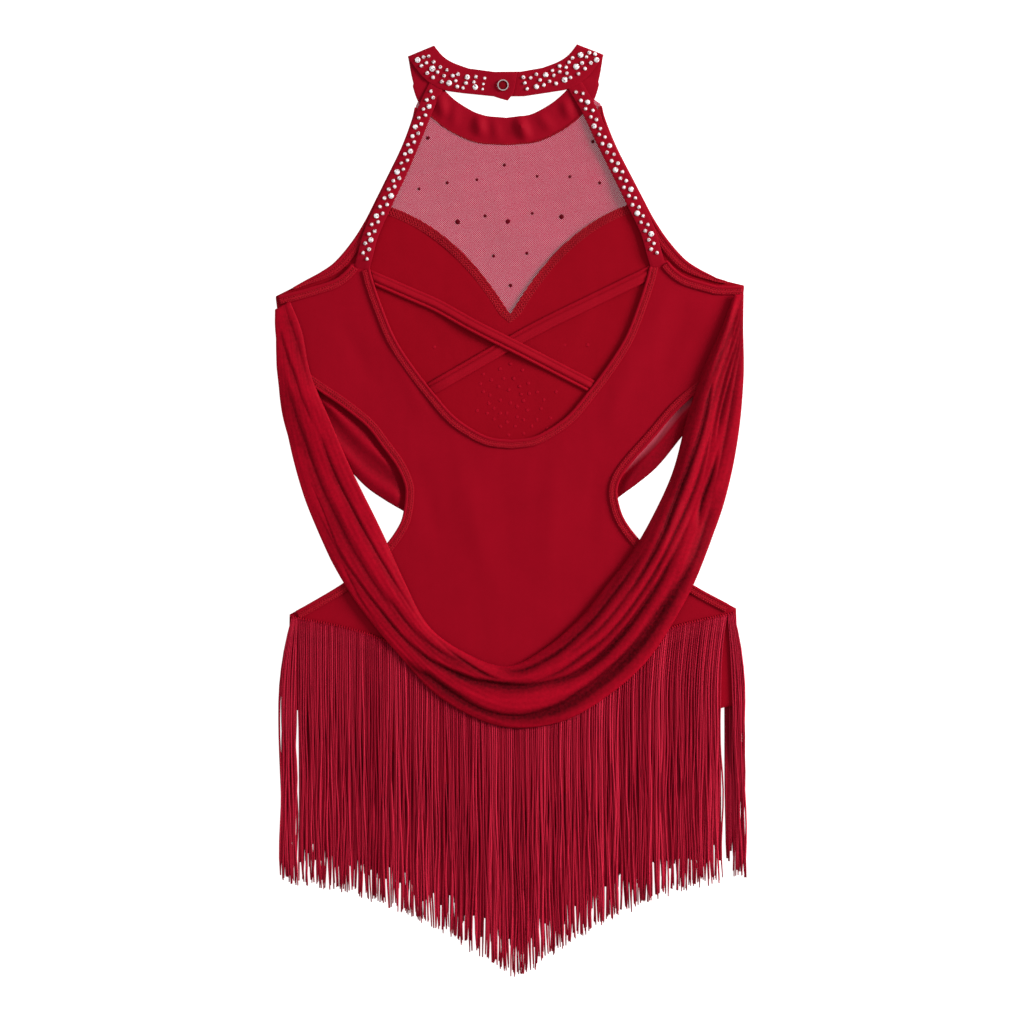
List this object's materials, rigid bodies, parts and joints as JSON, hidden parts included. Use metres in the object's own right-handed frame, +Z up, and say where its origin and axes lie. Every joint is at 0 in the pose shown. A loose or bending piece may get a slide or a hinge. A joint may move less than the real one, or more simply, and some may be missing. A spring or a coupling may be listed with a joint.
{
  "type": "latin dance leotard laid flat",
  "caption": "Backless halter leotard for latin dance, laid flat on its front: net yoke, crossed straps, side cut-outs, draped scarves, hanging fringe.",
  "frame": {"origin": "on the table, under the middle of the garment's outline", "axes": "+Z up from the table, +Y from the fringe's hem to the collar, +X to the right of someone looking down on the back"},
  "size_m": [0.3256, 0.6399, 0.0109],
  "materials": {
    "jersey": "matt crimson stretch jersey",
    "net": "fine sheer net in crimson",
    "drape": "soft draped mesh in crimson, slight sheen",
    "fringe": "chainette fringe in crimson, silky",
    "snap_steel": "polished press stud"
  },
  "bodies": {
    "root": {"front_body": "jersey", "front_yoke": "net", "collar": "jersey", "snap": "snap_steel", "strap_left": "jersey", "strap_right": "jersey", "back_body": "jersey", "binding_scoop": "jersey", "binding_cutout_left": "jersey", "binding_cutout_right": "jersey", "binding_back_armhole_left": "jersey", "binding_back_armhole_right": "jersey", "binding_front_armhole_left": "jersey", "binding_front_armhole_right": "jersey", "cross_strap_over": "jersey", "cross_strap_under": "jersey", "back_swag": "drape", "front_swag": "drape", "back_fringe": "fringe", "front_fringe": "fringe"}
  },
  "joints": []
}
